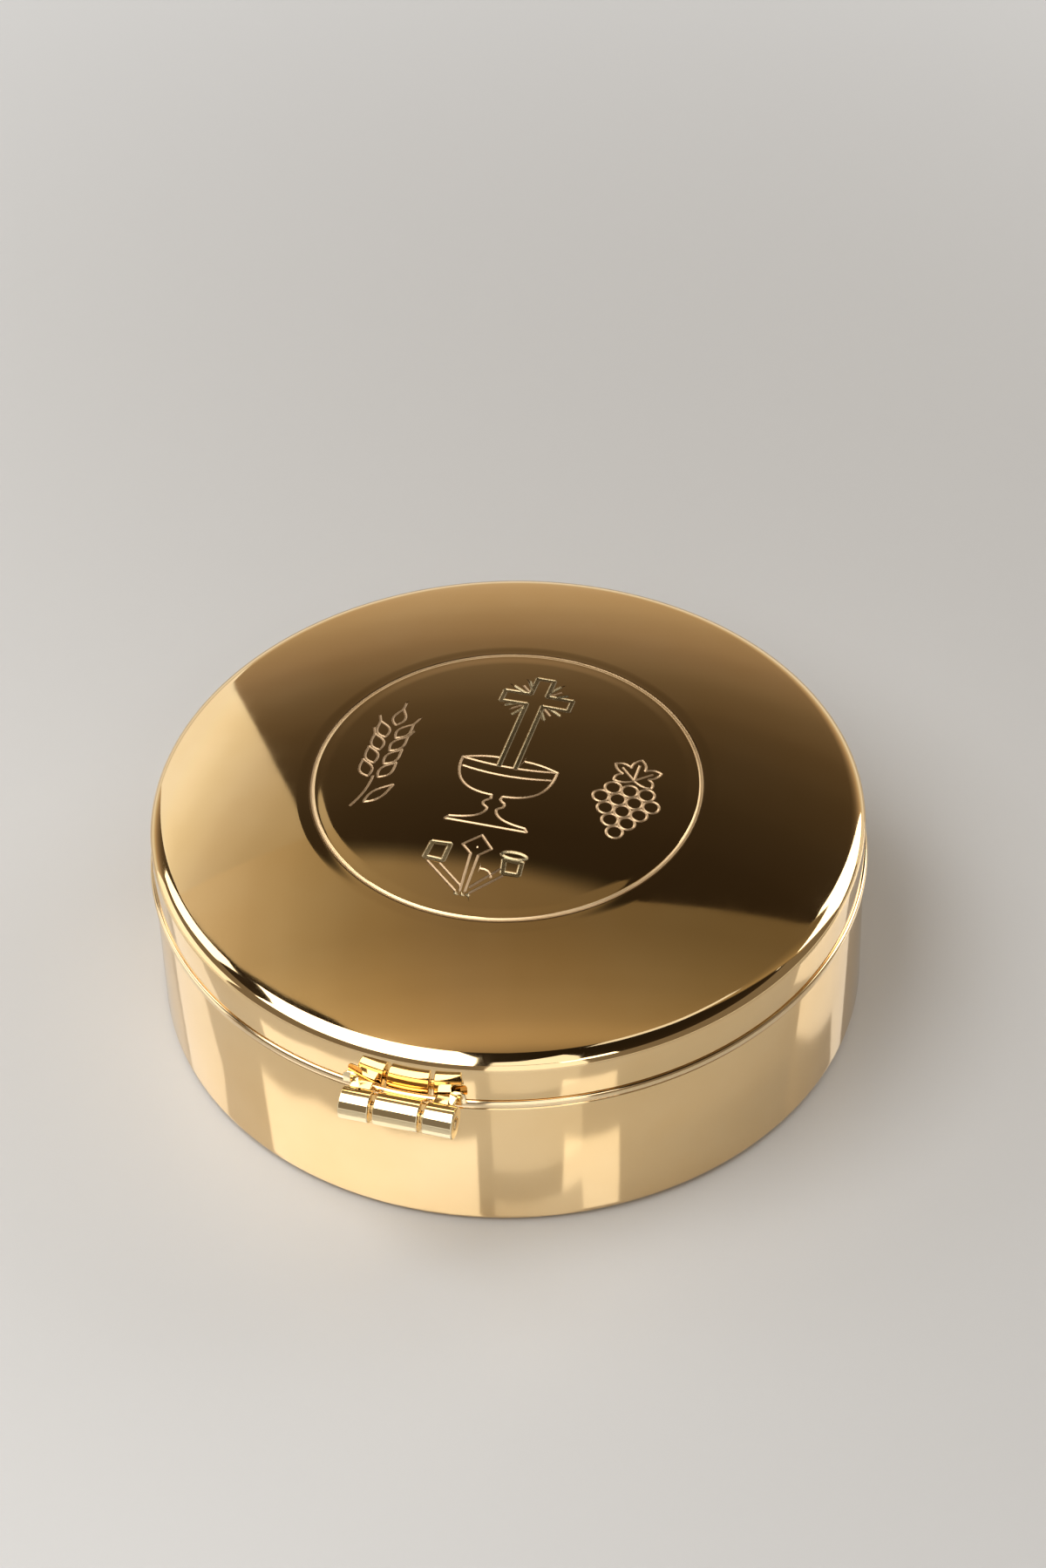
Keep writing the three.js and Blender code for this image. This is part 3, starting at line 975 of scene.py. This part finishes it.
studio = {
    "floor": {
        "radius": 6.0,
        "colour": (0.63, 0.627, 0.621, 1),
        "roughness": 0.5,
        "mirroredCoat": (1.0, 0.05, 2.2),  # weight, roughness and IOR as the metal mirrors it
        "seenCoat": (0.5, 0.3, 1.5),      # and as the camera sees it
        "fade": (0.06, 0.3),              # from the box, until it has the horizon's colour
    },
    "horizon": (0.84, 0.83, 0.81, 1),
    "lamps": {
        # degrees round from the camera's side and up, then distance, size and radiance
        "slim_box": (23, 47, 0.45, (0.1, 0.07), 3.6),
        "right_box": (118, 32, 0.42, (0.2, 0.29), 3.0),
    },
    "lampAim": (0, 0, 0.012),
    "lampColour": (1.0, 0.99, 0.975),
    "flatCards": {  # soft boxes: brightness, height, then corners in x and y
        "bank": (4.0, 0.298, (
            (-0.03, 0.04), (-0.065, 0.05), (-0.097, 0.068), (-0.125, 0.093), (-0.142, 0.112),
            (-0.157, 0.086), (-0.19, 0.04), (-0.235, -0.005), (-0.33, -0.02), (-0.3, -0.14),
            (-0.24, -0.23), (-0.16, -0.29), (-0.072, -0.325), (-0.045, -0.18), (-0.035, -0.11),
            (-0.028, -0.05))),
        "left_top": (2.6, 0.296, (
            (-0.16, 0.142), (-0.189, 0.18), (-0.222, 0.228), (-0.3, 0.29), (-0.41, 0.32),
            (-0.394, 0.237), (-0.323, 0.144), (-0.29, 0.095), (-0.19, 0.101))),
        "panel_top": (1.3, 0.296, (
            (-0.038, -0.27), (-0.022, -0.14), (0.005, -0.12), (0.035, -0.05), (0.06, -0.12),
            (0.098, -0.27))),
        "edge_strip": (1.0, 0.296, (
            (0.04, 0.015), (0.1, 0.035), (0.135, 0.075), (0.115, 0.085), (0.085, 0.06),
            (0.045, 0.045))),
    },
    "uprightCards": {  # brightness, then corners in x, y and z
        "left_side": (1.35, (
            (-0.41, 0.25, 0), (-0.41, 0.25, 0.2), (-0.48, -0.05, 0.26), (-0.48, -0.05, 0))),
        "panel_low": (1.3, (
            (-0.063, -0.45, 0.01), (0.155, -0.45, 0.01), (0.165, -0.45, 0.47),
            (-0.063, -0.45, 0.47))),
    },
    "flag": {  # dim backdrop behind the camera, round to this angle on both sides
        "radius": 0.62, "height": 0.62, "reach": 118, "steps": 24,
        "cloth": (0.02, 0.018, 0.016, 1), "roughness": 0.95, "glow": (0.2, 0.165, 0.125, 1),
    },
    "cardHeight": 0.3,
    "ceiling": {
        # corners in x and y; glow by x from left to right, and by y from its front edge back
        "corners": (
            (-0.232, 0.42), (-0.213, 0.3), (-0.205, 0.236), (-0.174, 0.18), (-0.148, 0.139),
            (-0.12, 0.107), (-0.092, 0.081), (-0.06, 0.04), (0.42, 0.04), (0.42, 0.19),
            (0.066, 0.16), (0.045, 0.156), (-0.063, 0.1992), (-0.091, 0.2104), (-0.101, 0.231),
            (-0.113, 0.252)),
        "across": {
            -0.2: (0.72, 0.63, 0.5), -0.15: (0.53, 0.44, 0.31), -0.12: (0.42, 0.34, 0.22),
            -0.09: (0.33, 0.26, 0.16), -0.06: (0.27, 0.205, 0.12), -0.03: (0.225, 0.168, 0.1),
            0.0: (0.2, 0.148, 0.085), 0.1: (0.16, 0.12, 0.066)},
        "away": {0.04: 1.0, 0.055: 2.15, 0.07: 1.8, 0.09: 1.45, 0.11: 1.23, 0.14: 1.0},
    },
    "softEdge": {
        # strip that fades out beyond the ceiling's far edge, by y + slant times x
        "corners": (
            (0.066, 0.16), (0.045, 0.156), (-0.063, 0.1992), (-0.091, 0.2104), (-0.101, 0.231),
            (-0.103, 0.241), (-0.063, 0.2245), (0.006, 0.197), (0.052, 0.1785)),
        "slant": 0.4,
        "away": {0.174: 1.0, 0.18: 0.85, 0.187: 0.5, 0.193: 0.25, 0.199: 0.14},
    },
    "leftCard": {
        # corners in x, y and z; glow by x + slant times z
        "corners": (
            (-0.092, 0.25, 0.06), (-0.113, 0.252, 0.3), (-0.197, 0.234, 0.3),
            (-0.197, 0.234, 0.06)),
        "slant": 0.75,
        "glow": {-0.01: (1.05, 1.03, 1.0), 0.01: (0.88, 0.84, 0.76), 0.035: (0.68, 0.62, 0.53),
                 0.065: (0.52, 0.45, 0.34), 0.1: (0.44, 0.37, 0.26), 0.15: (0.36, 0.29, 0.19)},
    },
    "sky": {  # colour by the sine of the height angle
        0.0: (1.0, 1.0, 1.0), 0.1: (0.86, 0.82, 0.75), 0.2: (0.68, 0.57, 0.44),
        0.29: (0.49, 0.39, 0.28), 0.37: (0.335, 0.257, 0.185), 0.44: (0.215, 0.165, 0.115),
        0.515: (0.13, 0.096, 0.062), 0.58: (0.088, 0.064, 0.04), 0.67: (0.058, 0.042, 0.026),
        0.76: (0.036, 0.025, 0.015), 1.0: (0.022, 0.016, 0.01),
    },
}


def makeLamps():
    aim = Vector(studio["lampAim"])
    for name, (turn, rise, distance, size, radiance) in studio["lamps"].items():
        turn, rise = radians(turn), radians(rise)
        side = Vector((sin(turn) * cos(rise), -cos(turn) * cos(rise), sin(rise)))
        data = bpy.data.lights.new(name, "AREA")
        data.shape = "RECTANGLE"
        data.size, data.size_y = size
        data.energy = radiance * pi * data.size * data.size_y
        data.color = studio["lampColour"]
        lamp = addObject(name, data)
        place = seenFromCamera() @ (side * distance)
        lamp.matrix_world = (Matrix.Translation(place)
                             @ (place - aim).to_track_quat("Z", "Y").to_matrix().to_4x4())
        lamp.visible_camera = False


def colourBy(tree, value, stops):
    # A colour for each place along a value; the stops are {place: colour}
    low, high = min(stops), max(stops)
    ramp = addNode(tree, "ValToRGB", remap(tree, value, 0, 1, low, high))
    ramp.color_ramp.interpolation = "CARDINAL"
    while len(ramp.color_ramp.elements) < len(stops):
        ramp.color_ramp.elements.new(0.5)
    for element, (place, colour) in zip(ramp.color_ramp.elements, sorted(stops.items())):
        element.position = (place - low) / (high - low)
        element.color = (*colour, 1)
    return ramp.outputs["Color"]


def addStage(name, mesh, material, place, seen=False):
    # A part of the studio; the camera sees only the floor
    mesh.materials.append(material)
    stage = addObject(name, mesh)
    stage.matrix_world = place
    stage.visible_camera = seen


def glowCard(name, corners, colourOf=None, level=1.0):
    # A flat card in the lamps' colour, or with a glow worked out from its places in x, y and z
    mesh = bpy.data.meshes.new(name)
    mesh.from_pydata([tuple(c) for c in corners], [], [tuple(range(len(corners)))])
    material, tree, shader = newMaterial(name)
    tree.nodes.remove(shader)
    colour = (*studio["lampColour"], 1)
    if colourOf:
        colour = colourOf(tree, addNode(tree, "SeparateXYZ", objectPlace(tree)).outputs)
    glow = addNode(tree, "Emission", colour, level)
    tree.links.new(glow.outputs[0], tree.nodes["Material Output"].inputs["Surface"])
    addStage(name, mesh, material, seenFromCamera())


def flatCard(name, height, corners, colourOf=None, level=1.0):
    glowCard(name, [(x, y, height) for x, y in corners], colourOf, level)


def crossedGlow(tree, place, awayPlace, levels):
    # The ceiling's colours by x, times a level; the ramp holds a third of each level
    across = colourBy(tree, place["X"], studio["ceiling"]["across"])
    away = colourBy(tree, awayPlace, {y: (level / 3,) * 3 for y, level in levels.items()})
    both = addNode(tree, "VectorMath", across, away, operation="MULTIPLY").outputs[0]
    return addNode(tree, "VectorMath", both, operation="SCALE", Scale=3).outputs[0]


def ceilingGlow(tree, place):
    return crossedGlow(tree, place, place["Y"], studio["ceiling"]["away"])


def softEdgeGlow(tree, place):
    edge = studio["softEdge"]
    line = mathNode(tree, "MULTIPLY_ADD", place["X"], edge["slant"], place["Y"])
    return crossedGlow(tree, place, line, edge["away"])


def leftGlow(tree, place):
    card = studio["leftCard"]
    line = mathNode(tree, "MULTIPLY_ADD", place["Z"], card["slant"], place["X"])
    return colourBy(tree, line, card["glow"])


def makeCards():
    height = studio["cardHeight"]
    flatCard("ceiling_card", height, studio["ceiling"]["corners"], ceilingGlow)
    flatCard("soft_edge", height, studio["softEdge"]["corners"], softEdgeGlow)
    glowCard("left_card", studio["leftCard"]["corners"], leftGlow)
    for name, (level, height, corners) in studio["flatCards"].items():
        flatCard(name, height, corners, level=level)
    for name, (level, corners) in studio["uprightCards"].items():
        glowCard(name, corners, level=level)


def makeFlag():
    flag = studio["flag"]
    steps = flag["steps"]
    turns = [radians(flag["reach"] * (2 * i / steps - 1)) for i in range(steps + 1)]
    foot = [(flag["radius"] * sin(t), -flag["radius"] * cos(t)) for t in turns]
    verts = [(x, y, z) for z in (0, flag["height"]) for x, y in foot]
    faces = [(i, i + 1, i + steps + 2, i + steps + 1) for i in range(steps)]
    mesh = bpy.data.meshes.new("dark_flag")
    mesh.from_pydata(verts, [], faces)
    material, tree, shader = newMaterial("dark_cloth")
    fillNode(tree, shader, Base_Color=flag["cloth"], Roughness=flag["roughness"],
             Specular_IOR_Level=0.0, Emission_Color=flag["glow"], Emission_Strength=1.0)
    addStage("dark_flag", mesh, material, seenFromCamera())


def makeWorld():
    world = bpy.data.worlds.new("studio")
    bpy.context.scene.world = world
    world.use_nodes = True
    tree = world.node_tree
    direction = addNode(tree, "TexCoord").outputs["Generated"]
    height = addNode(tree, "SeparateXYZ", direction).outputs["Z"]
    stops = {place: [a * b for a, b in zip(colour, studio["horizon"])]
             for place, colour in studio["sky"].items()}
    tree.links.new(colourBy(tree, height, stops), tree.nodes["Background"].inputs["Color"])


def makeFloor():
    floor = studio["floor"]
    bm = bmesh.new()
    bmesh.ops.create_circle(bm, cap_ends=True, segments=128, radius=floor["radius"])
    material, tree, shader = newMaterial("pale_floor")

    def coated(node, coat):
        weight, roughness, ior = coat
        return fillNode(tree, node, Base_Color=floor["colour"], Roughness=floor["roughness"],
                        Coat_Weight=weight, Coat_Roughness=roughness, Coat_IOR=ior).outputs[0]

    inMetal = coated(shader, floor["mirroredCoat"])
    toCamera = coated(addNode(tree, "BsdfPrincipled"), floor["seenCoat"])
    path = addNode(tree, "LightPath").outputs
    near = addNode(tree, "MixShader", path["Is Camera Ray"], inMetal, toCamera)
    # Far from the box the floor takes the horizon's colour, so that no line shows behind it
    distance = addNode(tree, "VectorMath", objectPlace(tree), operation="LENGTH")
    far = addNode(tree, "MapRange", distance.outputs["Value"], *floor["fade"])
    far.interpolation_type = "SMOOTHSTEP"
    looked = mathNode(tree, "MAXIMUM", path["Is Camera Ray"], path["Is Glossy Ray"])
    looked = mathNode(tree, "MAXIMUM", looked, path["Is Transmission Ray"])
    share = mathNode(tree, "MULTIPLY", far.outputs["Result"], looked)
    glow = addNode(tree, "Emission", studio["horizon"])
    mix = addNode(tree, "MixShader", share, near.outputs[0], glow.outputs[0])
    tree.links.new(mix.outputs[0], tree.nodes["Material Output"].inputs["Surface"])
    addStage("floor", meshOf(bm), material, Matrix.Identity(4), seen=True)


print("Host box: camera and studio")
makeCamera()
makeLamps()
makeCards()
makeFlag()
makeWorld()
makeFloor()
bpy.context.scene.view_settings.view_transform = "Standard"

bpy.context.view_layer.update()
print("Host box: done")
